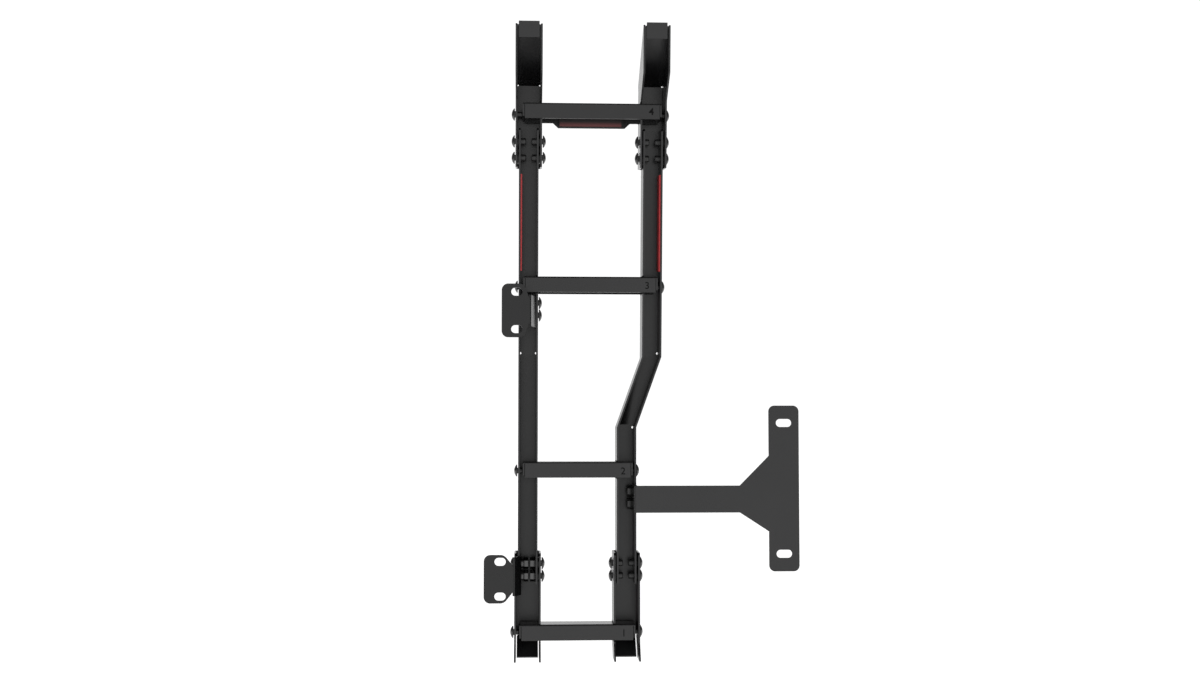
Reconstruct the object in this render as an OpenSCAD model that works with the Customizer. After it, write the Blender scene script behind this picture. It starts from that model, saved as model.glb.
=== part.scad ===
// Ladder for the rear door of a van: two folded stiles, four rungs and three door brackets.
// Millimetres. X runs right as seen from the door, Y away from the door, Z up.
// The origin is the middle of the tee bracket's door face.

/* [Sheet] */
// Thickness of every folded sheet
sheet = 3; // [2:0.5:4]
// Diameter of the relief holes where a fold ends
relief_d = 4; // [2:0.5:6]

/* [Stiles] */
// Outer width of a middle section
mid_w = 33.5; // [31:0.5:37]
// Depth of a middle section, open edge to back
mid_d = 50; // [46:1:56]
// Side gap between a middle section and the outer section round it
nest_gap = 2.75; // [1:0.25:4]
// Gap between the backs of two nested sections
back_gap = 0.5; // [0.2:0.1:1]
// How far an outer section's open edge stands in front of the middle section's
edge_step = 6.5; // [3:0.5:10]
// Distance between the stiles above the jog, centre to centre
upper_span = 212; // [195:1:260]
// Sideways shift of the right stile in the jog
jog = 43.5; // [20:0.5:60]
// Height over which the right stile shifts
jog_h = 121; // [100:1:140]
// Angle at which the upper part leans to the door
lean = 6; // [3:0.5:8]
// Height of the lean's fold above the tee bracket's middle
bend_z = 226.5; // [215:0.5:240]
// Length of a middle section above the fold
mid_up = 386.5; // [380:0.5:400]
// Length of a middle section below the fold
mid_down = 389.5; // [380:0.5:400]
// Chamfer on the open corners of every section's ends
end_chamfer = 4; // [2:0.5:6]

/* [Top hook] */
// Overlap of the hook section and the middle section
hook_lap = 66.5; // [64:0.5:80]
// Height of the hook's fold above the end of the middle section
hook_fold = 78; // [70:1:90]
// Height of the hook's tip above that fold
hook_rise = 92; // [80:1:100]
// How far the hook reaches to the door from the open edge of its section
hook_reach = 55; // [40:1:70]
// Height at which the open edge starts to reach out, below the fold
hook_start = 31; // [24:1:36]
// Rise of the open edge as it reaches out
hook_slope = 41; // [34:1:50]
// Flange tips below the hook's tip
hook_drop = 4; // [3:0.5:8]
// Height of the end tab
tab_h = 27; // [20:1:34]
// Gap beside the end tab
tab_gap = 2.25; // [1:0.25:5]

/* [Foot] */
// Overlap of the foot section and the middle section
foot_lap = 52.5; // [48:0.5:60]
// Length of the foot section
foot_len = 180; // [176:0.5:200]
// Height of the foot's fold above its lower end
foot_fold = 35.5; // [30:0.5:38]
// Depth over which the folded foot plate runs to the door
foot_run = 30; // [24:1:36]
// Drop of the folded foot plate
foot_fall = 35; // [30:0.5:40]
// Gap on each side of the folded foot plate
foot_gap = 1.25; // [0.75:0.25:3]
// How far the foot's flanges reach out to the door
foot_reach = 17; // [8:1:24]
// Height over which they reach out
foot_slope = 28; // [20:1:36]
// Width of the flange's lower end
foot_end = 46; // [40:1:50]

/* [Rungs] */
// Height of a rung's front
rung_h = 27; // [23:0.5:28]
// Gap between a rung and the back of a middle section
rung_back_gap = 3; // [1:0.5:6]
// Tread height of rung 1 above the middle of the tee bracket
rung_1_z = -231; // [-236:1:-226]
// Tread height of rung 2 above the middle of the tee bracket
rung_2_z = 44; // [40:1:60]
// Tread height of rung 3 above the middle of the tee bracket
rung_3_z = 360.5; // [356:0.5:366]
// Tread height of rung 4 above the middle of the tee bracket
rung_4_z = 654; // [648:1:658]
// Gap from the stile to each rung's left end, rung 1 to rung 4
left_gap = [5.5, 5, 5, 9];
// Gap from the stile to each rung's right end, rung 1 to rung 4
right_gap = [4.5, 3, 4, 5];
// Free height above and below a rung in its notch
notch_gap = 2; // [1:0.5:4]
// Gap between a rung's front and its end tabs
tab_slit = 0.8; // [0.4:0.1:2]
// Rung bolt below the middle of the rung
rung_bolt_drop = 2; // [0:0.5:4]
// Length of the lower edge of rung 4's apron
apron_w = 115; // [90:1:130]
// Drop of the apron below rung 4
apron_h = 8.5; // [6:0.5:16]
// Length of the apron's slanted ends
apron_slant = 10; // [6:0.5:16]

/* [Backing plates] */
// Thickness of the red plates behind the cut-outs
red_t = 2.5; // [1.5:0.5:3]
// Length of the red strips in the stiles
red_len = 165; // [140:1:170]
// Height of the lower end of the red strips above the lean's fold
red_s = 143.5; // [140:0.5:155]
// Width of the red strips
red_w = 40; // [30:1:42]
// Length of a cut-out in the stiles
cut_len = 38; // [20:1:44]
// Width of a cut-out in the stiles
cut_w = 20; // [10:1:26]
// Length of a cut-out in rung 4
slot_len = 27; // [15:1:30]
// Height of a cut-out in rung 4
slot_h = 12; // [8:1:14]
// Cut-outs in a row
cuts = 3; // [2:1:3]

/* [Brackets] */
// From the tee bracket's door face to the open edges of the middle sections
stand_off = 36.5; // [30:0.5:50]
// Width of the tee bracket's plate
tee_w = 51.5; // [46:0.5:60]
// Height of the tee bracket's plate
tee_h = 279.5; // [265:0.5:300]
// Reach from the middle of the tee plate to the right stile's centre
tee_reach = 264.5; // [250:0.5:280]
// Height of the tee bracket's arm
arm_h = 45.5; // [36:0.5:50]
// Arm's centre below the middle of the tee plate
arm_drop = 18; // [10:0.5:24]
// Width of the flare where the arm meets the plate
flare_w = 49.5; // [40:0.5:60]
// Rise of the flare above the arm
flare_up = 50; // [40:1:60]
// Fall of the flare below the arm
flare_down = 32; // [24:1:40]
// Middle of the tee plate's slots from the ends of the plate
tee_slot_edge = 29.5; // [20:0.5:36]
// Length of the slots of the tee plate
tee_slot = 26.5; // [20:0.5:32]
// Width of every slot
slot_w = 13.5; // [10:0.5:15]
// Corner radius of the tee plate
tee_r = 10; // [6:1:14]
// Width of the upper left plate, free edge to fold
upper_w = 49; // [46:0.5:56]
// Width of the lower left plate, free edge to fold
lower_w = 51; // [48:0.5:58]
// Middle of the upper left plate's slots from its free edge
upper_slot_x = 25.5; // [20:0.5:28]
// Middle of the lower left plate's slots from its free edge
lower_slot_x = 27.5; // [22:0.5:29]
// Radius of the upper left plate's corners next to the fold
upper_far_r = 10; // [8:0.5:14]
// Radius of the lower left plate's corners next to the fold
lower_far_r = 14; // [10:0.5:18]
// Middle of the upper left plate's corners next to the fold, from the fold
upper_far_x = 19; // [16:0.5:24]
// Middle of the lower left plate's corners next to the fold, from the fold
lower_far_x = 23.5; // [20:0.5:28]
// Height of the upper left plate
upper_h = 90.5; // [86:0.5:100]
// Height of the lower left plate
lower_h = 81; // [78:0.5:90]
// Middle of the upper left plate's slots from its ends
upper_slot_edge = 13.75; // [12:0.25:18]
// Middle of the lower left plate's slots from its ends
lower_slot_edge = 11.5; // [10:0.25:14]
// Length of the slots of the left plates
side_slot = 19; // [16:0.5:24]
// Corner radius of the left plates
side_r = 11; // [8:1:12]
// Height of the neck between the upper left plate and its leg
upper_neck_h = 36.5; // [30:0.5:44]
// Height of the neck between the lower left plate and its leg
lower_neck_h = 42.5; // [36:0.5:50]
// Height of the upper left leg
upper_leg_h = 53; // [48:0.5:58]
// Height of the lower left leg
lower_leg_h = 65; // [60:0.5:70]
// Upper left plate's door face in front of the tee's
upper_fore = 15; // [5:0.5:25]
// Lower left plate's door face behind the tee's
lower_aft = 16; // [8:0.5:20]
// Height of the upper left plate's middle above the tee's
upper_z = 299; // [297:0.5:302]
// Height of the lower left plate's middle above the tee's
lower_z = -152; // [-156:0.5:-148]
// Sideways shift of the upper left leg between plate and stile
upper_shift = 9.5; // [4:0.5:14]
// Sideways shift of the lower left leg between plate and stile
lower_shift = 12; // [6:0.5:16]
// Depth over which the upper left leg slants
upper_slant = 44; // [36:1:48]
// Depth over which the lower left leg slants
lower_slant = 18; // [14:1:22]
// Height of the upper left leg's bolts above the middle of its plate
upper_rise = 8; // [4:0.5:10]
// Height of the lower left leg's middle above the middle of its plate
lower_rise = 4; // [0:0.5:6]
// Length of every leg past its bolts
leg_past = 11; // [10:0.5:16]

/* [Bolts] */
// Diameter of every bolt
bolt_d = 10; // [8:1:12]
// Free width round a bolt in its hole
bolt_play = 0.5; // [0.3:0.1:0.8]
// Diameter of a bolt's head
head_d = 21; // [18:0.5:21]
// Height of a bolt's head
head_h = 5.5; // [4:0.5:7]
// Length of square neck left outside the sheet
neck_out = 1.5; // [0.5:0.25:2.5]
// Width across a nut's flats
nut_w = 17; // [13:0.5:19]
// Thickness of a nut
nut_t = 8; // [6:0.5:10]
// Diameter of a round nut
round_nut_d = 12.5; // [11.5:0.5:16]
// Bolt end past the nut
bolt_tail = 1; // [0.5:0.5:3]
// Height of the straight rim under a bolt's dome
rim_h = 1.5; // [1:0.25:2]
// Bolt line in front of the back of the middle section
bolt_back = 22; // [19:0.5:26]
// Upper splice bolts from the upper end of the middle sections
splice_edge = 21; // [18:0.5:24]
// Distance between the two bolts of an upper splice
splice_pitch = 28; // [26:0.5:30]
// Lower splice bolts from the lower end of the middle sections
splice_foot = 11.5; // [11:0.5:14]
// Distance between the two bolts of a bracket
pair_pitch = 21.5; // [21:0.5:26]

/* [Hidden] */
$fn = 48;
black = [0.16, 0.16, 0.17];
red = [0.66, 0.16, 0.17];
steel = [0.3, 0.3, 0.31];
// Cuts run this far past the sheets they pass through
over = 1;

right_x = -tee_reach;
right_up_x = right_x + jog;
left_x = right_up_x - upper_span;
wide_in = mid_w + 2 * nest_gap;
wide_w = wide_in + 2 * sheet;
wide_d = edge_step + mid_d + back_gap + sheet;
mid_end_z = bend_z - mid_down;
bolt_n = mid_d - bolt_back;
rung_d = mid_d - sheet - rung_back_gap;
tee_pitch = tee_h - 2 * tee_slot_edge;
upper_pitch = upper_h - 2 * upper_slot_edge;
lower_pitch = lower_h - 2 * lower_slot_edge;
// The shift of the right stile ends just under the lean's fold
jog_top = bend_z - sheet;
hook_end_s = mid_up - hook_lap;
hook_fold_s = mid_up + hook_fold;
hook_tip_s = hook_fold_s + hook_rise;
hook_n = -edge_step - hook_reach;
back_n = wide_d - edge_step;
foot_top_z = mid_end_z + foot_lap;
foot_end_z = foot_top_z - foot_len;
foot_fold_z = foot_end_z + foot_fold;
hole_d = bolt_d + 2 * bolt_play;
// A bolt's hole in a nut or spacer is closer than in sheet
fit = 0.15;
splice_s = [mid_up - splice_edge - splice_pitch, mid_up - splice_edge];
splice_z = [mid_end_z + splice_foot + pair_pitch, mid_end_z + splice_foot];
upper_bolt_z = [upper_z + upper_rise + pair_pitch / 2, upper_z + upper_rise - pair_pitch / 2];
tee_bolt_z = [pair_pitch / 2 - arm_drop, -pair_pitch / 2 - arm_drop];
leg_end = stand_off + bolt_n + leg_past;
rung_z = [rung_1_z, rung_2_z, rung_3_z, rung_4_z];
rung_bolt_z = [for (z = rung_z) z - rung_h / 2 - rung_bolt_drop];
// Distance of a rung bolt from the fold along the leaning part of the stile
function bolt_s(z) = (z - bend_z - bolt_n * sin(lean)) / cos(lean);
// Front of each rung: level rungs whose bolts stay on the stile's bolt line
rung_y = [for (z = rung_bolt_z)
    z < bend_z ? stand_off : stand_off + bolt_n * cos(lean) - bolt_s(z) * sin(lean) - bolt_n];

// Unit vector from a to b
function along(a, b) = (b - a) / norm(b - a);
// Normal to the left of a direction
function left_of(v) = [-v[1], v[0]];
// Corner of a strip of thickness t beside the path p at point i
function corner(p, i, t) =
    let (
        a = i == 0 ? left_of(along(p[0], p[1])) : left_of(along(p[i - 1], p[i])),
        b = i == len(p) - 1 ? a : left_of(along(p[i], p[i + 1]))
    )
    p[i] + (a + b) * t / (1 + a * b);
// Outline of a strip folded along the path p, its thickness to the left
function strip(p, t) = concat(p, [for (i = [len(p) - 1:-1:0]) corner(p, i, t)]);

// Frame of the leaning upper part: Y from the open edge of the middle section, Z from the fold
module leaning() {
    translate([0, stand_off, bend_z]) rotate([lean, 0, 0]) children();
}

// Frame of the upright lower part: Y from the open edge of the middle section
module upright() {
    translate([0, stand_off, 0]) children();
}

// Plate across X with an outline in Y and Z
module cheek(x, outline, t = sheet) {
    translate([x, 0, 0]) rotate([90, 0, 90]) linear_extrude(t) polygon(outline);
}

// Plate across Y from y, with an outline in X and Z
module panel(y, t = sheet) {
    translate([0, y + t, 0]) rotate([90, 0, 0]) linear_extrude(t) children();
}

module rounded(w, h, r) {
    square([w - 2 * r, h], center = true);
    square([w, h - 2 * r], center = true);
    for (i = [-1, 1], j = [-1, 1]) translate([i * (w / 2 - r), j * (h / 2 - r)]) circle(r);
}

module slot(l, w) {
    square([l - w, w], center = true);
    for (i = [-1, 1]) translate([i * (l - w) / 2, 0]) circle(d = w);
}

// Round hole through a flange, at the distance n behind the open edge
module flange_hole(x, n, z) {
    translate([x - over, n, z]) rotate([0, 90, 0]) cylinder(d = hole_d, h = sheet + 2 * over);
}

// Square hole for the neck of a bolt
module neck_hole(x, n, z) {
    translate([x - over, n - hole_d / 2, z - hole_d / 2]) cube([sheet + 2 * over, hole_d, hole_d]);
}

// Open notch for rung i in the inner flange at x
module rung_notch(x, i) {
    front = mid_d - rung_d;
    translate([x - over, rung_y[i] - 2 * front, rung_z[i] - rung_h - notch_gap])
        cube([sheet + 2 * over, 2 * front + rung_d + notch_gap / 2, rung_h + 2 * notch_gap]);
}

// Hole for rung i's bolt in the outer flange at x
module rung_hole(x, i) {
    neck_hole(x, rung_y[i] + bolt_n, rung_bolt_z[i]);
}

module relief(x, y, z) {
    translate([x, y - sheet / 2, z]) rotate([-90, 0, 0]) cylinder(d = relief_d, h = 2 * sheet);
}

// Hook section at the top of a stile; side is -1 where the outer flange is on the left
module hook(x, side) {
    outer = x + side * wide_w / 2 - (side > 0 ? sheet : 0);
    inner = x - side * wide_w / 2 - (side > 0 ? 0 : sheet);
    slope = (hook_n - back_n) / hook_rise;
    top_s = hook_tip_s - hook_drop;
    flange = [
        [-edge_step + end_chamfer, hook_end_s], [back_n, hook_end_s], [back_n, hook_fold_s],
        [hook_n - slope * hook_drop, top_s], [hook_n + end_chamfer / 2, top_s],
        [hook_n, top_s - end_chamfer / 2], [hook_n, hook_fold_s - hook_start + hook_slope],
        [-edge_step, hook_fold_s - hook_start], [-edge_step, hook_end_s + end_chamfer]
    ];
    back = [[back_n, hook_end_s], [back_n, hook_fold_s], [hook_n, hook_tip_s], [hook_n, hook_tip_s - tab_h]];
    difference() {
        leaning() union() {
            cheek(x - wide_w / 2, flange);
            cheek(x + wide_w / 2 - sheet, flange);
            cheek(x - wide_in / 2, strip(back, sheet), wide_in);
        }
        leaning() {
            for (i = [-1, 1]) {
                relief(x + i * wide_in / 2, back_n - sheet, hook_fold_s);
                translate([x + i * (wide_in - tab_gap) / 2, hook_n, hook_tip_s])
                    cube([tab_gap, 2 * (over - slope * hook_drop), 2 * (tab_h + over)], center = true);
            }
            for (s = splice_s) {
                neck_hole(x - wide_w / 2, bolt_n, s);
                neck_hole(x + wide_in / 2, bolt_n, s);
            }
        }
        rung_hole(outer, 3);
        rung_notch(inner, 3);
    }
}

// Foot section at the bottom of a stile
module foot(x, side) {
    outer = x + side * wide_w / 2 - (side > 0 ? sheet : 0);
    inner = x - side * wide_w / 2 - (side > 0 ? 0 : sheet);
    flange = [
        [-edge_step, foot_end_z + foot_slope], [-edge_step - foot_reach, foot_end_z],
        [-edge_step - foot_reach + foot_end, foot_end_z], [back_n, foot_fold_z], [back_n, foot_top_z],
        [-edge_step + end_chamfer, foot_top_z], [-edge_step, foot_top_z - end_chamfer]
    ];
    plate = [[back_n - foot_run, foot_fold_z - foot_fall], [back_n, foot_fold_z], [back_n, foot_fold_z + sheet]];
    difference() {
        upright() union() {
            cheek(x - wide_w / 2, flange);
            cheek(x + wide_w / 2 - sheet, flange);
            translate([x - wide_in / 2, back_n - sheet, foot_fold_z])
                cube([wide_in, sheet, foot_top_z - foot_fold_z]);
            cheek(x - wide_in / 2 + foot_gap, strip(plate, sheet), wide_in - 2 * foot_gap);
        }
        upright() {
            for (i = [-1, 1]) relief(x + i * (wide_in - foot_gap) / 2, back_n - sheet, foot_fold_z);
            for (z = splice_z) {
                neck_hole(x - wide_w / 2, bolt_n, z);
                neck_hole(x + wide_in / 2, bolt_n, z);
            }
        }
        rung_hole(outer, 0);
        rung_notch(inner, 0);
    }
}

// Points of a middle section's side edge below the lean's fold, dx beside its centre line
function jog_edge(low_x, up_x, dx) = [
    [low_x + dx, mid_end_z], [low_x + dx, jog_top - jog_h], [up_x + dx, jog_top]
];

// The points of p in the other order
function reversed(p) = [for (i = [len(p) - 1:-1:0]) p[i]];

// Sheet between two side edges
module jog_sheet(low_x, up_x, dx0, dx1) {
    polygon(concat(jog_edge(low_x, up_x, dx0), reversed(jog_edge(low_x, up_x, dx1))));
}

// Point n behind the open edge and s above the fold, along the leaning part
function lean_point(n, s) = [n * cos(lean) - s * sin(lean), bend_z + n * sin(lean) + s * cos(lean)];

// Middle section of a stile, from low_x below to up_x above
module mid_stile(low_x, up_x, side) {
    half = mid_w / 2;
    fold = [mid_d, bend_z + mid_d * tan(lean / 2)];
    flange = [
        [0, jog_top], [mid_d, jog_top], fold, lean_point(mid_d, mid_up),
        lean_point(end_chamfer, mid_up), lean_point(0, mid_up - end_chamfer), [0, bend_z]
    ];
    back = [[mid_d, jog_top], fold, lean_point(mid_d, mid_up)];
    outer = side > 0 ? half - sheet : -half;
    inner = side > 0 ? -half : half - sheet;
    difference() {
        upright() union() {
            panel(0, mid_d) jog_sheet(low_x, up_x, -half, sheet - half);
            panel(0, mid_d) jog_sheet(low_x, up_x, half - sheet, half);
            panel(mid_d - sheet) jog_sheet(low_x, up_x, -half, half);
            cheek(up_x - half, flange);
            cheek(up_x + half - sheet, flange);
            cheek(up_x - half, strip(back, sheet), mid_w);
        }
        leaning() {
            for (i = [-1, 1]) relief(up_x + i * (half - sheet), mid_d - sheet, 0);
            for (s = splice_s) {
                flange_hole(up_x - half, bolt_n, s);
                flange_hole(up_x + half - sheet, bolt_n, s);
            }
            for (i = [0:cuts - 1])
                translate([up_x + outer - over, (mid_d - sheet) / 2, red_s + red_len * (i + 0.5) / cuts])
                    rotate([90, 0, 90]) linear_extrude(sheet + 2 * over) rotate(90) slot(cut_len, cut_w);
        }
        upright() {
            if (low_x != up_x) relief(low_x + half - sheet, mid_d - sheet, jog_top - jog_h);
            for (z = splice_z) {
                flange_hole(low_x - half, bolt_n, z);
                flange_hole(low_x + half - sheet, bolt_n, z);
            }
        }
        rung_hole(up_x + outer, 2);
        rung_notch(up_x + inner, 2);
        rung_hole(low_x + outer, 1);
        rung_notch(low_x + inner, 1);
    }
}

// Rung i: front, tread and back folded from one sheet, with a tab for the bolt at each end
module rung(i) {
    x0 = rung_x[i][0];
    x1 = rung_x[i][1];
    z = rung_z[i];
    inset = sheet + tab_slit;
    translate([0, rung_y[i], 0]) {
        translate([x0, 0, z - sheet]) cube([x1 - x0, rung_d, sheet]);
        for (y = [0, rung_d - sheet])
            translate([x0 + inset, y, z - rung_h]) cube([x1 - x0 - 2 * inset, sheet, rung_h]);
        for (x = [x0, x1 - sheet]) difference() {
            translate([x, tab_slit, z - rung_h + inset]) cube([sheet, rung_d - 2 * tab_slit, rung_h - inset]);
            flange_hole(x, bolt_n, rung_bolt_z[i]);
        }
    }
}

mid_in = mid_w / 2 - sheet;
wide_half = wide_in / 2;
// Left and right end of each rung
rung_x = [
    [left_x - wide_half + left_gap[0], right_x + wide_half - right_gap[0]],
    [left_x - mid_in + left_gap[1], right_x + mid_in - right_gap[1]],
    [left_x - mid_in + left_gap[2], right_up_x + mid_in - right_gap[2]],
    [left_x - wide_half + left_gap[3], right_up_x + wide_half - right_gap[3]]
];
apron_x = (rung_x[3][0] + rung_x[3][1]) / 2;
// Back sheet of rung 4
lip_y = rung_y[3] + rung_d - sheet;
lip_low = rung_4_z - rung_h;
slot_z = (rung_4_z - sheet + lip_low - apron_h) / 2;
slot_pitch = apron_w / cuts;

// Rung 4, whose back sheet reaches lower in the middle and has cut-outs
module rung_4_sheet() {
    w = apron_w / 2;
    difference() {
        union() {
            rung(3);
            panel(lip_y) polygon([
                [apron_x - w, lip_low - apron_h], [apron_x + w, lip_low - apron_h],
                [apron_x + w + apron_slant, lip_low + over], [apron_x - w - apron_slant, lip_low + over]
            ]);
        }
        panel(lip_y - over, sheet + 2 * over)
            for (i = [0:cuts - 1])
                translate([apron_x + (i - (cuts - 1) / 2) * slot_pitch, slot_z]) slot(slot_len, slot_h);
    }
}

// A bolt with its head outside a flange's face at x; dir points from the head into the stile
module bolt(x, dir, y, z, grip) {
    translate([x, y, z]) rotate([0, 90 * dir, 0]) {
        translate([0, 0, -neck_out - rim_h]) cylinder(d = head_d, h = rim_h);
        translate([0, 0, -neck_out - head_h]) cylinder(d1 = head_d / 2, d2 = head_d, h = head_h - rim_h);
        translate([-bolt_d / 2, -bolt_d / 2, -neck_out]) cube([bolt_d, bolt_d, neck_out + sheet]);
        cylinder(d = bolt_d, h = grip + nut_t + bolt_tail);
    }
}

// Nut whose near face is at x, on the far side in the direction dir
module nut(x, dir, y, z) {
    translate([x, y, z]) rotate([0, 90 * dir, 0]) difference() {
        cylinder(d = nut_w / cos(30), h = nut_t, $fn = 6);
        translate([0, 0, -over]) cylinder(d = bolt_d + 2 * fit, h = nut_t + 2 * over);
    }
}

// Round nut with its near face at x, in the place of a hexagon one
module round_nut(x, dir, y, z) {
    translate([x, y, z]) rotate([0, 90 * dir, 0]) difference() {
        cylinder(d = round_nut_d, h = nut_t);
        translate([0, 0, -over]) cylinder(d = bolt_d + 2 * fit, h = nut_t + 2 * over);
    }
}

module spacer(x, y, z) {
    translate([x, y, z]) rotate([0, 90, 0]) difference() {
        cylinder(d = head_d, h = nest_gap);
        translate([0, 0, -over]) cylinder(d = bolt_d + 2 * fit, h = nest_gap + 2 * over);
    }
}

stack = 2 * sheet + nest_gap;

// Splice bolts, nuts and spacers through both flanges of a stile at the heights zs;
// extra is what the left flange carries besides
module splice_bolts(x, zs, extra = 0) {
    for (z = zs) {
        bolt(x - wide_w / 2, 1, bolt_n, z, stack + extra);
        bolt(x + wide_w / 2, -1, bolt_n, z, stack);
    }
}

module splice_nuts(x, zs, extra = 0) {
    for (z = zs) {
        nut(x - wide_w / 2 + stack + extra, 1, bolt_n, z);
        nut(x + wide_w / 2 - stack, -1, bolt_n, z);
    }
}

module splice_round_nuts(x, zs) {
    for (z = zs) {
        round_nut(x - wide_w / 2 + stack, 1, bolt_n, z);
        round_nut(x + wide_w / 2 - stack, -1, bolt_n, z);
    }
}

module splice_spacers(x, zs) {
    for (z = zs, x0 = [x - wide_in / 2, x + mid_w / 2]) spacer(x0, bolt_n, z);
}

// Bolts and nuts at the ends of rung i
module rung_bolts(i) {
    y = rung_y[i] + bolt_n;
    bolt(rung_x[i][0] - left_gap[i] - sheet, 1, y, rung_bolt_z[i], 2 * sheet + left_gap[i]);
    bolt(rung_x[i][1] + right_gap[i] + sheet, -1, y, rung_bolt_z[i], 2 * sheet + right_gap[i]);
}

module rung_nuts(i) {
    y = rung_y[i] + bolt_n;
    nut(rung_x[i][0] + sheet, 1, y, rung_bolt_z[i]);
    nut(rung_x[i][1] - sheet, -1, y, rung_bolt_z[i]);
}

module left_hook() { color(black) hook(left_x, -1); }
module right_hook() { color(black) hook(right_up_x, 1); }
module left_foot() { color(black) foot(left_x, -1); }
module right_foot() { color(black) foot(right_x, 1); }

module left_mid_stile() {
    color(black) difference() {
        mid_stile(left_x, left_x, -1);
        for (z = upper_bolt_z) neck_hole(left_x + mid_in, stand_off + bolt_n, z);
    }
}

module right_mid_stile() {
    color(black) difference() {
        mid_stile(right_x, right_up_x, 1);
        for (z = tee_bolt_z) neck_hole(right_x + mid_in, stand_off + bolt_n, z);
    }
}

module rung_1() { color(black) rung(0); }
module rung_2() { color(black) rung(1); }
module rung_3() { color(black) rung(2); }
module rung_4() { color(black) rung_4_sheet(); }

module rung_4_backing() {
    low = lip_low - apron_h + over;
    color(red) translate([apron_x - apron_w / 2 + over, lip_y - red_t, low])
        cube([apron_w - 2 * over, red_t, rung_4_z - sheet - over - low]);
}

module red_strip(x) {
    color(red) leaning() translate([x, (mid_d - sheet - red_w) / 2, red_s]) cube([red_t, red_w, red_len]);
}

module left_red_strip() { red_strip(left_x - mid_in); }
module right_red_strip() { red_strip(right_up_x + mid_in - red_t); }

// Leg of a left bracket: from the plate's fold, slanting to the stile, then flat against its flange.
// x is the flange's inner face, shift the slant towards it and y0 the plate's door face
module slanted_leg(x, shift, y0, z, h, back) {
    path = [[x - shift, y0], [x, back], [x, leg_end]];
    translate([0, 0, z - h / 2]) linear_extrude(h) polygon(strip(path, sheet));
}

// Point where the line from p touches the circle of radius r round c, on the side turn
function touch(c, r, p, turn) =
    let (v = p - c, a = atan2(v[1], v[0]) + turn * acos(r / norm(v)))
    c + r * [cos(a), sin(a)];

// Plate with its free edge at x0 and its fold at x1, tapered from its rounded corners to the neck
module side_plate(x0, x1, y, z, h, far_x, far_r, pitch, slot_x, neck_h) {
    c = [x1 - far_x - x0, h / 2 - far_r];
    end = [x1 - sheet / 2 - x0, neck_h / 2];
    top = touch(c, far_r, end, 1);
    panel(y) translate([x0, z]) difference() {
        union() {
            for (j = [-1, 1]) {
                translate([side_r, j * (h / 2 - side_r)]) circle(side_r);
                translate([c[0], j * c[1]]) circle(far_r);
            }
            polygon([
                [0, side_r - h / 2], [side_r, -h / 2], [c[0], -h / 2], [top[0], -top[1]], [end[0], -end[1]],
                end, top, [c[0], h / 2], [side_r, h / 2], [0, h / 2 - side_r]
            ]);
        }
        for (j = [-1, 1]) translate([slot_x, j * pitch / 2]) slot(side_slot, slot_w);
    }
}

module upper_left_bracket() {
    x = left_x + mid_in;
    turn = x - upper_shift;
    color(black) difference() {
        union() {
            side_plate(
                turn - upper_w, turn, -upper_fore, upper_z, upper_h,
                upper_far_x, upper_far_r, upper_pitch, upper_slot_x, upper_neck_h
            );
            slanted_leg(x, upper_shift, -upper_fore, upper_z, upper_leg_h, upper_slant - upper_fore);
        }
        for (z = upper_bolt_z) flange_hole(x - sheet, stand_off + bolt_n, z);
    }
}

module lower_left_bracket() {
    x = left_x - mid_in + sheet;
    turn = x - lower_shift;
    color(black) difference() {
        union() {
            side_plate(
                turn - lower_w, turn, lower_aft, lower_z, lower_h,
                lower_far_x, lower_far_r, lower_pitch, lower_slot_x, lower_neck_h
            );
            slanted_leg(x, lower_shift, lower_aft, lower_z + lower_rise, lower_leg_h, lower_aft + lower_slant);
        }
        for (z = splice_z) flange_hole(x - sheet, stand_off + bolt_n, z);
    }
}

module tee_bracket() {
    x = right_x + mid_in - sheet;
    top = arm_h / 2 - arm_drop;
    low = top - arm_h;
    color(black) difference() {
        union() {
            panel(0) difference() {
                union() {
                    rounded(tee_w, tee_h, tee_r);
                    polygon([
                        [x, low], [-tee_w / 2 - flare_w, low], [-tee_w / 2, low - flare_down], [0, low - flare_down],
                        [0, top + flare_up], [-tee_w / 2, top + flare_up], [-tee_w / 2 - flare_w, top], [x, top]
                    ]);
                }
                for (i = [-1, 1]) translate([0, i * tee_pitch / 2]) slot(tee_slot, slot_w);
            }
            translate([x, 0, low]) cube([sheet, leg_end, arm_h]);
        }
        for (z = tee_bolt_z) flange_hole(x, stand_off + bolt_n, z);
    }
}

module top_left_bolts() { color(steel) leaning() splice_bolts(left_x, splice_s); }
module top_left_nuts() { color(steel) leaning() splice_round_nuts(left_x, splice_s); }
module top_left_spacers() { color(steel) leaning() splice_spacers(left_x, splice_s); }
module top_right_bolts() { color(steel) leaning() splice_bolts(right_up_x, splice_s); }
module top_right_nuts() { color(steel) leaning() splice_round_nuts(right_up_x, splice_s); }
module top_right_spacers() { color(steel) leaning() splice_spacers(right_up_x, splice_s); }
module bottom_left_bolts() { color(steel) upright() splice_bolts(left_x, splice_z, sheet); }
module bottom_left_nuts() { color(steel) upright() splice_nuts(left_x, splice_z, sheet); }
module bottom_left_spacers() { color(steel) upright() splice_spacers(left_x, splice_z); }
module bottom_right_bolts() { color(steel) upright() splice_bolts(right_x, splice_z); }
module bottom_right_nuts() { color(steel) upright() splice_round_nuts(right_x, splice_z); }
module bottom_right_spacers() { color(steel) upright() splice_spacers(right_x, splice_z); }
module rung_1_bolts() { color(steel) rung_bolts(0); }
module rung_1_nuts() { color(steel) rung_nuts(0); }
module rung_2_bolts() { color(steel) rung_bolts(1); }
module rung_2_nuts() { color(steel) rung_nuts(1); }
module rung_3_bolts() { color(steel) rung_bolts(2); }
module rung_3_nuts() { color(steel) rung_nuts(2); }
module rung_4_bolts() { color(steel) rung_bolts(3); }
module rung_4_nuts() { color(steel) rung_nuts(3); }

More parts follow.
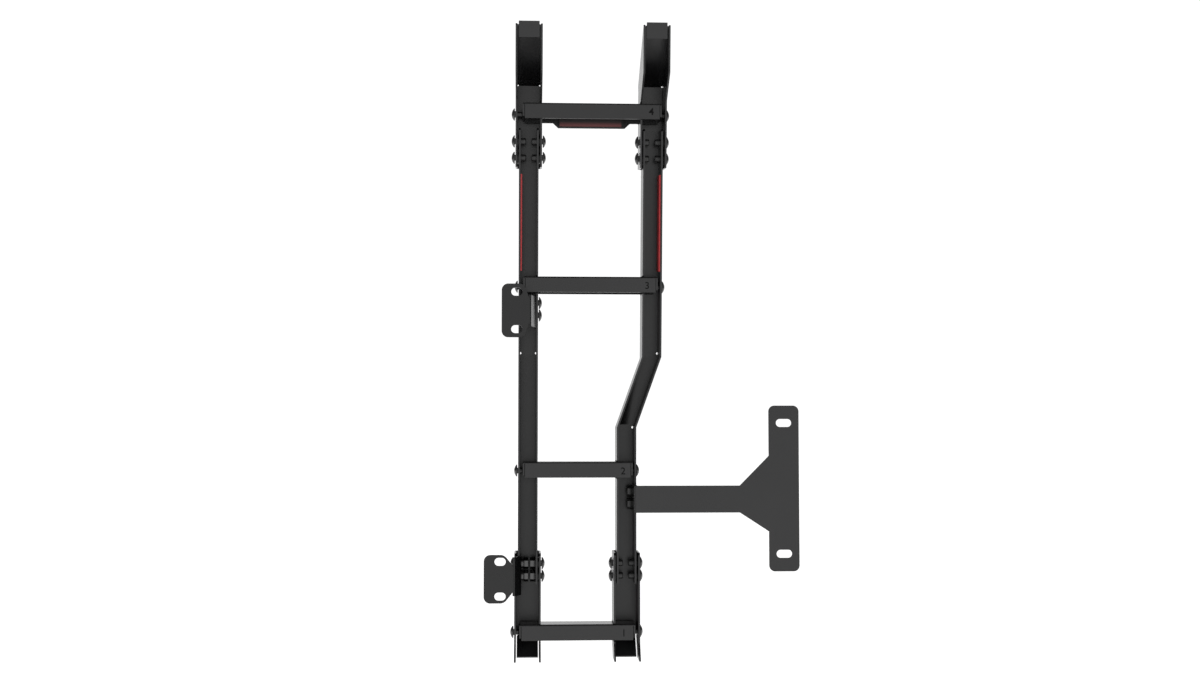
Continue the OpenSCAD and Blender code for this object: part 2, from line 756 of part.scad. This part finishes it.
module upper_left_bracket_bolts() {
    color(steel) upright() for (z = upper_bolt_z) bolt(left_x + mid_w / 2, -1, bolt_n, z, 2 * sheet);
}

module upper_left_bracket_nuts() {
    color(steel) upright() for (z = upper_bolt_z) nut(left_x + mid_in - sheet, -1, bolt_n, z);
}

module tee_bracket_bolts() {
    color(steel) upright() for (z = tee_bolt_z) bolt(right_x + mid_w / 2, -1, bolt_n, z, 2 * sheet);
}

module tee_bracket_nuts() {
    color(steel) upright() for (z = tee_bolt_z) nut(right_x + mid_in - sheet, -1, bolt_n, z);
}

left_hook();
right_hook();
left_mid_stile();
right_mid_stile();
left_foot();
right_foot();
rung_1();
rung_2();
rung_3();
rung_4();
rung_4_backing();
left_red_strip();
right_red_strip();
upper_left_bracket();
lower_left_bracket();
tee_bracket();
top_left_bolts();
top_left_nuts();
top_left_spacers();
top_right_bolts();
top_right_nuts();
top_right_spacers();
bottom_left_bolts();
bottom_left_nuts();
bottom_left_spacers();
bottom_right_bolts();
bottom_right_nuts();
bottom_right_spacers();
rung_1_bolts();
rung_1_nuts();
rung_2_bolts();
rung_2_nuts();
rung_3_bolts();
rung_3_nuts();
rung_4_bolts();
rung_4_nuts();
upper_left_bracket_bolts();
upper_left_bracket_nuts();
tee_bracket_bolts();
tee_bracket_nuts();
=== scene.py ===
"""Looks of the van door ladder: rounded folds, coach bolts, powder coat, studio light."""

import math

import bmesh
import bpy
from mathutils import Matrix, Vector


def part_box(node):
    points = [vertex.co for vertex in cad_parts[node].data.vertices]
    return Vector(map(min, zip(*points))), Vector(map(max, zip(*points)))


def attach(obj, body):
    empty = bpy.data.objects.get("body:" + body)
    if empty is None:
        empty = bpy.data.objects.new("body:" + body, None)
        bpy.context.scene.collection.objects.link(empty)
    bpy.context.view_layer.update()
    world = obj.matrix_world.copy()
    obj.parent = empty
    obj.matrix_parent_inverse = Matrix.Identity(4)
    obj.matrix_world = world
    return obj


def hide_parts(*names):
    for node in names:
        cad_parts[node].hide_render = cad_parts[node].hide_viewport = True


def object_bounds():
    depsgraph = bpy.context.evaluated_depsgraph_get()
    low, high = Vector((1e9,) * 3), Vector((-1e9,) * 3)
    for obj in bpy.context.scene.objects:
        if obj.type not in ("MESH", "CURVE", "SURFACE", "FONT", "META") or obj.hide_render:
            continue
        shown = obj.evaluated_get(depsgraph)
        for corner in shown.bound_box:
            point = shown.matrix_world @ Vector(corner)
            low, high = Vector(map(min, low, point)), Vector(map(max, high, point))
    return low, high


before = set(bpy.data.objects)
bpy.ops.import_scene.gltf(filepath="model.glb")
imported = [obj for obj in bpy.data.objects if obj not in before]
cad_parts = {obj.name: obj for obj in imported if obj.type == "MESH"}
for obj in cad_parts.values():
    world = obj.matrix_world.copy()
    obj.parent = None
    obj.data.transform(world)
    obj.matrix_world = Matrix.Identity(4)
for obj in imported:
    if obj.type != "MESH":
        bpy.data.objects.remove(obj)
cad_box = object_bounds()

MM = 0.001

# The photograph: 1200 by 675 pixels, taken from 2.5 m with a lens of 1464 pixels
IMAGE_W = 1200
IMAGE_H = 675
FOCAL_PX = 1464
CAMERA_AT = Vector((-438.2, -2469, 115.3)) * MM
YAW = math.radians(2.93)
PITCH = math.radians(3.225)

# Sizes repeated from the part's source
SHEET = 3 * MM
LEAN = math.radians(6)
BEND_Z = 226.5 * MM
NECK = 1.5 * MM
RIM = 1.5 * MM
HEAD = 5.5 * MM
BOLT_R = 5 * MM
HEAD_R = 10.5 * MM
ROUND_NUT_R = 5.75 * MM
NUT_ACROSS = 17 * MM
LEAN_RELIEF = BEND_Z + 2.5 * MM
JOG_RELIEF = 102.5 * MM
HOOK_FOLD = 692 * MM
FOOT_FOLD = -254.5 * MM
SLANTED_LEGS = ("upper_left_bracket", "lower_left_bracket")
ROUND_NUTS = ("top_left_nuts", "top_right_nuts", "bottom_right_nuts")

# Radius of a fold outside, inside and where a leg leaves its plate, and of a cut edge
FOLD_OUT = 3.6 * MM
FOLD_IN = 0.7 * MM
NECK_FOLD = 0.93 * SHEET
EDGE = 0.25 * MM

# How far a rounded fold keeps from a relief hole, and from the folds of hook and foot
RELIEF_GAP = 5 * MM
FOLD_GAP = 8 * MM

# Distance within which points are one: in the solids' meshes, and in new ones
SOLID_WELD = 0.002 * MM
WELD = 0.001 * MM
SAME = 0.01 * MM

# Details of bolts and nuts
THREAD_PITCH = 1.5 * MM
THREAD_DEPTH = 0.8 * MM
THREAD_LEN = 14 * MM
END_CHAMFER = 0.5 * MM
RING_CHAMFER = 0.3 * MM
WASHER = 3.9 * MM
WASHER_R = 8 * MM
INNER_NUT_EXTRA = 1.5 * MM

# Numbers on the rungs
NUMBER_H = 12 * MM
NUMBER_T = 0.2 * MM


def seen_at(column, row, depth):
    """The point at a depth Y that the camera sees at a pixel of the photograph"""
    across = (column - IMAGE_W / 2) / FOCAL_PX
    up = (IMAGE_H / 2 - row) / FOCAL_PX
    level = math.cos(PITCH)
    ahead = Vector((math.sin(YAW) * level, math.cos(YAW) * level, math.sin(PITCH)))
    right = Vector((math.cos(YAW), -math.sin(YAW), 0))
    ray = ahead + across * right + up * right.cross(ahead)
    return CAMERA_AT + ray * ((depth - CAMERA_AT.y) / ray.y)


# Materials


def node_adder(tree):
    """A helper that adds a node to a tree and sets its sockets and properties"""

    def add(kind, **values):
        node = tree.nodes.new(kind)
        for key, value in values.items():
            if key in node.inputs:
                node.inputs[key].default_value = value
            else:
                setattr(node, key, value)
        return node

    return add


def node_material(name):
    """A new material with its tree, its shader and the helper that adds nodes"""
    material = bpy.data.materials.new(name)
    material.use_nodes = True
    tree = material.node_tree
    return material, tree, tree.nodes["Principled BSDF"], node_adder(tree)


def set_ramp(ramp, stops):
    """Gives a colour ramp its stops, each a position and a colour"""
    elements = ramp.color_ramp.elements
    while len(elements) < len(stops):
        elements.new(0.5)
    for element, (position, colour) in zip(elements, stops):
        element.position = position
        element.color = (*colour, 1)


def powder_coat(name, dark, light, roughness, grain=700, bump=0.05):
    """Powder coat: orange peel in the bump, faint clouds in colour and gloss"""
    material, tree, shader, add = node_material(name)
    place = add("ShaderNodeTexCoord")
    clouds = add("ShaderNodeTexNoise", Scale=11, Detail=2)
    peel = add("ShaderNodeTexNoise", Scale=grain, Detail=1)
    tint = add("ShaderNodeValToRGB")
    set_ramp(tint, ((0.35, dark), (0.7, light)))
    gloss = add("ShaderNodeMapRange")
    gloss.inputs["From Min"].default_value = 0.35
    gloss.inputs["From Max"].default_value = 0.65
    gloss.inputs["To Min"].default_value = roughness - 0.015
    gloss.inputs["To Max"].default_value = roughness + 0.015
    relief = add("ShaderNodeBump", Strength=bump, Distance=0.1 * MM)
    for noise in (clouds, peel):
        tree.links.new(place.outputs["Object"], noise.inputs["Vector"])
    tree.links.new(clouds.outputs["Fac"], tint.inputs["Fac"])
    tree.links.new(clouds.outputs["Fac"], gloss.inputs["Value"])
    tree.links.new(peel.outputs["Fac"], relief.inputs["Height"])
    tree.links.new(tint.outputs["Color"], shader.inputs["Base Color"])
    tree.links.new(gloss.outputs["Result"], shader.inputs["Roughness"])
    tree.links.new(relief.outputs["Normal"], shader.inputs["Normal"])
    return material


def grey(level):
    return (level, level, level)


def near_black(level):
    """A black with a trace of blue"""
    return (level, level, level + 0.0005)


BLACK = powder_coat("black_powder_coat", near_black(0.009), near_black(0.012), 0.25)
RED = powder_coat("red_powder_coat", (0.5, 0.02, 0.024), (0.56, 0.025, 0.03), 0.4)
TOP_BLACK = powder_coat("top_rung_powder_coat", near_black(0.012), near_black(0.015), 0.4)
PLATE_BLACK = powder_coat(
    "door_plate_powder_coat", (0.0025, 0.0025, 0.0027), (0.0035, 0.0035, 0.0037), 0.27
)
STILE_BLACK = powder_coat("stile_powder_coat", near_black(0.009), near_black(0.012), 0.3)
BOLT_STEEL = powder_coat("blackened_bolt_steel", grey(0.012), grey(0.02), 0.2, grain=400)
NUT_STEEL = powder_coat("blackened_nut_steel", grey(0.014), grey(0.026), 0.3, grain=400)
BRIGHT_NUT = powder_coat("bright_nut_steel", grey(0.09), grey(0.11), 0.3, grain=400)
INK = powder_coat("matt_black_number", grey(0.001), grey(0.002), 0.6)
for coat, socket, value in (
    (PLATE_BLACK, "Specular IOR Level", 0.45), (BRIGHT_NUT, "Metallic", 1),
    (INK, "Specular IOR Level", 0.15),
):
    coat.node_tree.nodes["Principled BSDF"].inputs[socket].default_value = value


def red_with_painted_shade(depth):
    """A darkened copy of the red coat behind rung 4, with painted shade that darkens it towards
    the top under the rung; black along its sides and lower edge
    """
    left = seen_at(559.6, 123, depth)
    right = seen_at(621.3, 123, depth)
    material, tree, shader, add = node_material("red_powder_coat_with_painted_shade")
    place = add("ShaderNodeTexCoord")
    split = add("ShaderNodeSeparateXYZ")
    # Height on the plate, from its lower edge up to the rung: it places the painted shade
    rise = add("ShaderNodeMapRange")
    rise.inputs["From Min"].default_value = seen_at(590, 128, depth).z
    rise.inputs["From Max"].default_value = seen_at(590, 118, depth).z
    tint = add("ShaderNodeValToRGB")
    black = grey(0.006)
    # Painted shade: this red is a darkened copy of the red coat
    red = (0.165, 0.05, 0.05)
    painted_shade_colour = (0.03, 0.023, 0.023)
    deeper_painted_shade_colour = (0.012, 0.01, 0.01)
    # Painted shade: the ramp darkens the red towards the top, under the rung
    set_ramp(tint, ((0.11, black), (0.15, red), (0.28, red), (0.6, painted_shade_colour), (0.9, deeper_painted_shade_colour)))
    inside = add("ShaderNodeMath", operation="COMPARE")
    inside.inputs[1].default_value = (left.x + right.x) / 2
    inside.inputs[2].default_value = (right.x - left.x) / 2
    coat = add("ShaderNodeMix", data_type="RGBA")
    coat.inputs["A"].default_value = (*black, 1)
    shader.inputs["Roughness"].default_value = 0.45
    tree.links.new(place.outputs["Object"], split.inputs["Vector"])
    tree.links.new(split.outputs["Z"], rise.inputs["Value"])
    tree.links.new(split.outputs["X"], inside.inputs[0])
    tree.links.new(rise.outputs["Result"], tint.inputs["Fac"])
    tree.links.new(inside.outputs[0], coat.inputs["Factor"])
    tree.links.new(tint.outputs["Color"], coat.inputs["B"])
    tree.links.new(coat.outputs["Result"], shader.inputs["Base Color"])
    return material


# Pieces


def finish_piece(bm, name, node, material):
    """Turns a bmesh into a piece, which stands for a CAD node where one is named"""
    mesh = bpy.data.meshes.new(name)
    bm.to_mesh(mesh)
    bm.free()
    piece = bpy.data.objects.new(name, mesh)
    bpy.context.collection.objects.link(piece)
    mesh.materials.append(material)
    mesh.shade_smooth()
    mesh.set_sharp_from_angle(angle=math.radians(32))
    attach(piece, "root")
    if node:
        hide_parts(node)
    return piece


def copy_mesh(node):
    """A bmesh of a CAD node, welded and with its flat faces whole"""
    bm = bmesh.new()
    bm.from_mesh(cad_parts[node].data)
    bmesh.ops.remove_doubles(bm, verts=bm.verts, dist=SOLID_WELD)
    bmesh.ops.dissolve_limit(
        bm, angle_limit=math.radians(0.3), verts=bm.verts, edges=bm.edges, delimit={"NORMAL"}
    )
    return bm


def middle(edge):
    """The point halfway along an edge"""
    return (edge.verts[0].co + edge.verts[1].co) / 2


def fold_edges(bm, keep, convex):
    """Long corners between two wide faces of a sheet: the lines on which it is folded"""
    found = []
    for edge in bm.edges:
        if edge.calc_length() < 20 * MM or not edge.is_manifold or edge.is_convex != convex:
            continue
        turn = edge.calc_face_angle(0)
        wide = all(
            2 * face.calc_area() / face.calc_perimeter() > 1.5 * SHEET for face in edge.link_faces
        )
        if wide and math.radians(25) < turn < math.radians(100) and keep(middle(edge)):
            found.append(edge)
    return found


def neck_edge(bm):
    """The upright corner on which a bracket's leg is folded back from its plate"""
    front = min(vert.co.y for vert in bm.verts)
    upright = [
        edge for edge in bm.edges
        if edge.calc_length() > 25 * MM and edge.is_convex
        and all(abs(vert.co.y - front) < SAME for vert in edge.verts)
        and abs(edge.verts[0].co.x - edge.verts[1].co.x) < SAME
    ]
    return [max(upright, key=lambda edge: middle(edge).x)]


def cut_beside(bm, heights):
    """Splits the sheet above and below each relief hole, so that a fold can end there"""
    for height in heights:
        for side in (-1, 1):
            bmesh.ops.bisect_plane(
                bm, geom=bm.verts[:] + bm.edges[:] + bm.faces[:], dist=WELD,
                plane_co=(0, 0, height + side * RELIEF_GAP), plane_no=(0, 0, 1),
            )


def round_edges(bm, edges, radius):
    """Rounds corners of the sheet as a press brake folds them"""
    bmesh.ops.bevel(
        bm, geom=edges, offset=radius, offset_type="OFFSET", segments=5, profile=0.5,
        affect="EDGES", clamp_overlap=True, material=-1,
    )


def soften(piece):
    """The rounded edge that powder coat leaves on a cut sheet"""
    bevel = piece.modifiers.new("edge", "BEVEL")
    bevel.width = EDGE
    bevel.segments = 2
    bevel.limit_method = "ANGLE"
    bevel.angle_limit = math.radians(30)
    bevel.use_clamp_overlap = True
    flat = piece.modifiers.new("flat_faces", "WEIGHTED_NORMAL")
    flat.keep_sharp = True
    flat.weight = 100


def sheet_piece(node, material=BLACK, relief_z=(), keep=lambda point: True):
    """A folded sheet: its folds are rounded where keep allows, except beside the relief holes"""

    def away(point):
        return keep(point) and all(abs(point.z - height) > RELIEF_GAP for height in relief_z)

    bm = copy_mesh(node)
    cut_beside(bm, relief_z)
    if node in SLANTED_LEGS:
        round_edges(bm, neck_edge(bm), NECK_FOLD)
    for convex, radius in ((True, FOLD_OUT), (False, FOLD_IN)):
        edges = fold_edges(bm, away, convex)
        if edges:
            round_edges(bm, edges, radius)
    soften(finish_piece(bm, node + "_skin", node, material))


def below_hook_fold(point):
    return point.z < HOOK_FOLD - FOLD_GAP


def above_foot_fold(point):
    return point.z > FOOT_FOLD + FOLD_GAP


sheet_piece("left_mid_stile", STILE_BLACK, relief_z=(LEAN_RELIEF,))
sheet_piece("right_mid_stile", STILE_BLACK, relief_z=(LEAN_RELIEF, JOG_RELIEF))
for node in ("left_hook", "right_hook"):
    sheet_piece(node, relief_z=(HOOK_FOLD,), keep=below_hook_fold)
for node in ("left_foot", "right_foot"):
    sheet_piece(node, STILE_BLACK, relief_z=(FOOT_FOLD,), keep=above_foot_fold)
for node in ("rung_1", "rung_2", "rung_3", "tee_bracket"):
    sheet_piece(node)
for node in SLANTED_LEGS:
    sheet_piece(node, PLATE_BLACK)
sheet_piece("rung_4", TOP_BLACK)
for node in ("left_red_strip", "right_red_strip"):
    sheet_piece(node, RED)
sheet_piece("rung_4_backing", red_with_painted_shade(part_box("rung_4_backing")[0][1]))


# Bolts, nuts and spacers


def loose_solids(node):
    """Lowest and highest corner and the vertices of each separate solid of a node"""
    bm = bmesh.new()
    bm.from_mesh(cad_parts[node].data)
    bmesh.ops.remove_doubles(bm, verts=bm.verts, dist=SOLID_WELD)
    left = set(bm.verts)
    solids = []
    while left:
        group = {left.pop()}
        front = set(group)
        while front:
            front = {edge.other_vert(vert) for vert in front for edge in vert.link_edges} - group
            group |= front
        left -= group
        points = [vert.co.copy() for vert in group]
        low = Vector(min(point[i] for point in points) for i in range(3))
        high = Vector(max(point[i] for point in points) for i in range(3))
        solids.append((low, high, points))
    bm.free()
    return sorted(solids, key=lambda solid: (round(solid[0].z, 5), round(solid[0].x, 5)))


def spun(bm, outline, steps=32, ring=False):
    """Turns an outline of (radius, height) points round the Z axis into a closed body or ring"""
    verts = [bm.verts.new((radius, 0, height)) for radius, height in outline]
    ends = verts[1:] + verts[:1] if ring else verts[1:]
    edges = [bm.edges.new(pair) for pair in zip(verts, ends)]
    bmesh.ops.spin(
        bm, geom=verts + edges, cent=(0, 0, 0), axis=(0, 0, 1), angle=math.tau, steps=steps,
        use_merge=True, use_duplicate=False,
    )
    bmesh.ops.remove_doubles(bm, verts=bm.verts, dist=WELD)
    bmesh.ops.recalc_face_normals(bm, faces=bm.faces)


def dome_outline():
    """A coach bolt's head from the middle of its dome to the middle of its underside"""
    rise = HEAD - RIM
    ball = (HEAD_R ** 2 + rise ** 2) / (2 * rise)
    sweep = math.asin(HEAD_R / ball)
    outline = []
    for step in range(11):
        angle = sweep * step / 10
        outline.append((ball * math.sin(angle), ball - ball * math.cos(angle)))
    outline.append((HEAD_R, HEAD - RING_CHAMFER))
    outline.append((HEAD_R - RING_CHAMFER, HEAD))
    outline.append((0, HEAD))
    return outline


def thread_outline(start, end):
    """A bolt's shank with its threaded end, from the middle of one end to that of the other"""
    outline = [(0, start), (BOLT_R, start)]
    last = end - END_CHAMFER
    count = int(min(THREAD_LEN, last - start) / THREAD_PITCH)
    for turn in range(count):
        height = last - (count - turn) * THREAD_PITCH
        outline.append((BOLT_R, height + 0.1 * THREAD_PITCH))
        outline.append((BOLT_R - THREAD_DEPTH, height + 0.5 * THREAD_PITCH))
        outline.append((BOLT_R, height + 0.9 * THREAD_PITCH))
    outline.append((BOLT_R, last))
    outline.append((BOLT_R - END_CHAMFER, end))
    outline.append((0, end))
    return outline


def stand_along_x(bm, at, side, tilt):
    """Lays a piece built up the Z axis along X, to the right for side 1, and puts it in place"""
    turn = Matrix.Rotation(tilt, 4, "X") @ Matrix.Rotation(side * math.pi / 2, 4, "Y")
    bmesh.ops.transform(bm, verts=bm.verts, matrix=Matrix.Translation(at) @ turn)


def join(target, source):
    """Adds one bmesh to another"""
    scrap = bpy.data.meshes.new("scrap")
    source.to_mesh(scrap)
    source.free()
    target.from_mesh(scrap)
    bpy.data.meshes.remove(scrap)


def ring_body(centre, height, radius, flat, tilt):
    """A ring round a bolt, along X, its rims chamfered by flat"""
    bm = bmesh.new()
    hole = BOLT_R + 0.15 * MM
    half = height / 2
    spun(bm, (
        (hole, -half), (radius - flat, -half), (radius, flat - half),
        (radius, half - flat), (radius - flat, half), (hole, half),
    ), ring=True)
    stand_along_x(bm, centre, 1, tilt)
    return bm


def one_bolt(low, high, points, tilt):
    """A coach bolt in the place of a plain one, its head on the side where the solid is wider"""
    centre = (low + high) / 2

    def reach(x):
        return max(
            math.hypot(point.y - centre.y, point.z - centre.z)
            for point in points if abs(point.x - x) < SAME
        )

    side = -1 if reach(high.x) > reach(low.x) + 0.1 * MM else 1
    length = high.x - low.x
    bm = bmesh.new()
    spun(bm, dome_outline())
    neck = bmesh.new()
    made = bmesh.ops.create_cube(neck, size=1)
    bmesh.ops.scale(neck, verts=made["verts"], vec=(2 * BOLT_R, 2 * BOLT_R, NECK + SHEET))
    bmesh.ops.translate(neck, verts=made["verts"], vec=(0, 0, HEAD + (NECK + SHEET) / 2))
    bmesh.ops.bevel(
        neck, geom=[e for e in neck.edges if abs(e.verts[0].co.z - e.verts[1].co.z) > MM],
        offset=0.5 * MM, segments=2, profile=0.5, affect="EDGES", material=-1,
    )
    join(bm, neck)
    shank = bmesh.new()
    spun(shank, thread_outline(HEAD + NECK + SHEET - 0.2 * MM, length), steps=24)
    join(bm, shank)
    head_x = low.x if side == 1 else high.x
    stand_along_x(bm, Vector((head_x, centre.y, centre.z)), side, tilt)
    return bm


def one_nut(low, high, tilt):
    """A hexagon nut, dished at both ends, with its corners up and down as on the plain one"""
    corner = NUT_ACROSS / math.sqrt(3)
    bm = bmesh.new()
    bmesh.ops.create_cone(
        bm, cap_ends=True, segments=6, radius1=corner, radius2=corner, depth=high.x - low.x,
        matrix=Matrix.Rotation(math.radians(30), 4, "Z"),
    )
    # The rims of both ends
    bmesh.ops.bevel(
        bm, geom=[e for e in bm.edges if abs(e.verts[0].co.z - e.verts[1].co.z) < 0.1 * MM],
        offset=0.5 * MM, segments=2, profile=0.5, affect="EDGES", material=-1,
    )
    for face in [f for f in bm.faces if abs(f.normal.z) > 0.99]:
        bmesh.ops.inset_region(bm, faces=[face], thickness=2.2 * MM, use_even_offset=True)
        bmesh.ops.translate(bm, verts=face.verts, vec=-0.35 * MM * face.normal)
    stand_along_x(bm, (low + high) / 2, 1, tilt)
    return bm


def nut_on_washer(low, high, outer):
    """A nut of the lower left splice; the outer ones stand on a thick washer"""
    if not outer:
        return one_nut(low - Vector((INNER_NUT_EXTRA, 0, 0)), high, 0)
    shift = Vector((WASHER, 0, 0))
    bm = one_nut(low + shift, high + shift, 0)
    centre = (low + high) / 2
    centre.x = low.x + WASHER / 2
    join(bm, ring_body(centre, WASHER, WASHER_R, 0.2 * MM, 0))
    return bm


def one_round_nut(low, high, tilt):
    """A round nut with softened rims, open at both ends"""
    return ring_body((low + high) / 2, high.x - low.x, ROUND_NUT_R, 0.15 * MM, tilt)


def one_spacer(low, high, tilt):
    """A plain ring with softened rims"""
    return ring_body((low + high) / 2, high.x - low.x, HEAD_R, RING_CHAMFER, tilt)


def fasteners():
    """Puts finished bolts, nuts and spacers in the places of the plain ones"""
    for node in sorted(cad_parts):
        kind = node.rsplit("_", 1)[-1]
        if kind not in ("bolts", "nuts", "spacers"):
            continue
        tilt = LEAN if node.startswith("top_") else 0
        whole = bmesh.new()
        for low, high, points in loose_solids(node):
            if kind == "bolts":
                join(whole, one_bolt(low, high, points, tilt))
            elif kind == "nuts" and node in ROUND_NUTS:
                join(whole, one_round_nut(low, high, tilt))
            elif node == "bottom_left_nuts":
                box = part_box(node)
                join(whole, nut_on_washer(low, high, high.x < (box[0][0] + box[1][0]) / 2))
            elif kind == "nuts":
                join(whole, one_nut(low, high, tilt))
            else:
                join(whole, one_spacer(low, high, tilt))
        material = BOLT_STEEL if kind == "bolts" else NUT_STEEL
        if node == "bottom_left_nuts":
            material = BRIGHT_NUT
        finish_piece(whole, node + "_set", node, material)


fasteners()


# Numbers on the rungs


def number(digit, rung, column, row, weight):
    """A rung's number on its front, standing 0.1 mm proud where the photograph shows it"""
    spot = seen_at(column, row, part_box(rung)[0][1])
    curve = bpy.data.curves.new("digit", "FONT")
    curve.body = digit
    curve.size = 1
    curve.extrude = 0.5
    curve.offset = weight
    letter = bpy.data.objects.new("digit", curve)
    bpy.context.collection.objects.link(letter)
    bpy.context.view_layer.update()
    mesh = bpy.data.meshes.new_from_object(letter)
    bpy.data.objects.remove(letter)
    bm = bmesh.new()
    bm.from_mesh(mesh)
    bpy.data.meshes.remove(mesh)
    low = Vector(min(v.co[i] for v in bm.verts) for i in range(3))
    high = Vector(max(v.co[i] for v in bm.verts) for i in range(3))
    size = NUMBER_H / (high.y - low.y)
    bmesh.ops.translate(bm, verts=bm.verts, vec=-(low + high) / 2)
    bmesh.ops.scale(bm, verts=bm.verts, vec=(size, size, NUMBER_T / (high.z - low.z)))
    upright = Matrix.Rotation(math.pi / 2, 3, "X")
    bmesh.ops.rotate(bm, verts=bm.verts, cent=(0, 0, 0), matrix=upright)
    bmesh.ops.translate(bm, verts=bm.verts, vec=spot)
    bmesh.ops.remove_doubles(bm, verts=bm.verts, dist=WELD)
    finish_piece(bm, "number_" + digit, None, INK)


number("1", "rung_1", 623.9, 632.9, 0)
number("2", "rung_2", 623.1, 470.9, 0.008)
number("3", "rung_3", 647.1, 285.5, 0.008)
number("4", "rung_4", 651.3, 111.6, 0.03)


# Studio

# Light of the surroundings, and its levels from the middle to the sides and from the horizon up
LIGHT = 1.07
SIDE_LEVELS = ((0.4, 1), (0.65, 0.13))
CEILING_LEVELS = ((0.5, 1), (0.72, 0.08))


def make_floor():
    """A wide pale floor that glows a little, as a lit sweep does"""
    bm = bmesh.new()
    bmesh.ops.create_grid(bm, x_segments=2, y_segments=2, size=40)
    bmesh.ops.translate(bm, verts=bm.verts, vec=(0, 0, cad_box[0][2] - 0.5))
    mesh = bpy.data.meshes.new("floor")
    bm.to_mesh(mesh)
    bm.free()
    floor = bpy.data.objects.new("floor", mesh)
    bpy.context.collection.objects.link(floor)
    material, tree, shader, add = node_material("pale_floor")
    shader.inputs["Base Color"].default_value = (0.9, 0.9, 0.9, 1)
    shader.inputs["Roughness"].default_value = 0.9
    shader.inputs["Emission Color"].default_value = (1, 1, 1, 1)
    shader.inputs["Emission Strength"].default_value = 0.95
    mesh.materials.append(material)


def make_world():
    """Pale surroundings with a broad light in front; reflections find the sides and ceiling dim"""
    world = bpy.data.worlds.new("studio")
    bpy.context.scene.world = world
    world.use_nodes = True
    tree = world.node_tree
    background = tree.nodes["Background"]
    add = node_adder(tree)

    def ramp_of(output, levels):
        ramp = add("ShaderNodeValToRGB")
        set_ramp(ramp, [(position, grey(level)) for position, level in levels])
        tree.links.new(output, ramp.inputs["Fac"])
        return ramp.outputs["Color"]

    place = add("ShaderNodeTexCoord")
    split = add("ShaderNodeSeparateXYZ")
    width = add("ShaderNodeMath", operation="ABSOLUTE")
    tree.links.new(place.outputs["Generated"], split.inputs["Vector"])
    tree.links.new(split.outputs["X"], width.inputs[0])
    sides = ramp_of(width.outputs[0], SIDE_LEVELS)
    ceiling = ramp_of(split.outputs["Z"], CEILING_LEVELS)
    both = add("ShaderNodeMix", data_type="RGBA", blend_type="MULTIPLY")
    both.inputs["Factor"].default_value = 1
    tree.links.new(sides, both.inputs["A"])
    tree.links.new(ceiling, both.inputs["B"])
    # The camera itself sees plain white
    path = add("ShaderNodeLightPath")
    seen = add("ShaderNodeMix", data_type="RGBA")
    tree.links.new(path.outputs["Is Camera Ray"], seen.inputs["Factor"])
    tree.links.new(both.outputs["Result"], seen.inputs["A"])
    seen.inputs["B"].default_value = (1, 1, 1, 1)
    tree.links.new(seen.outputs["Result"], background.inputs["Color"])
    background.inputs["Strength"].default_value = LIGHT


def make_camera():
    """The photograph's viewpoint"""
    data = bpy.data.cameras.new("camera")
    camera = bpy.data.objects.new("camera", data)
    bpy.context.collection.objects.link(camera)
    data.sensor_width = 36
    data.lens = FOCAL_PX / IMAGE_W * data.sensor_width
    data.clip_start = 0.05
    data.clip_end = 200
    camera.location = CAMERA_AT
    camera.rotation_euler = (math.radians(90) + PITCH, 0, -YAW)
    bpy.context.scene.camera = camera


make_floor()
make_world()
make_camera()
bpy.context.scene.view_settings.view_transform = "Standard"
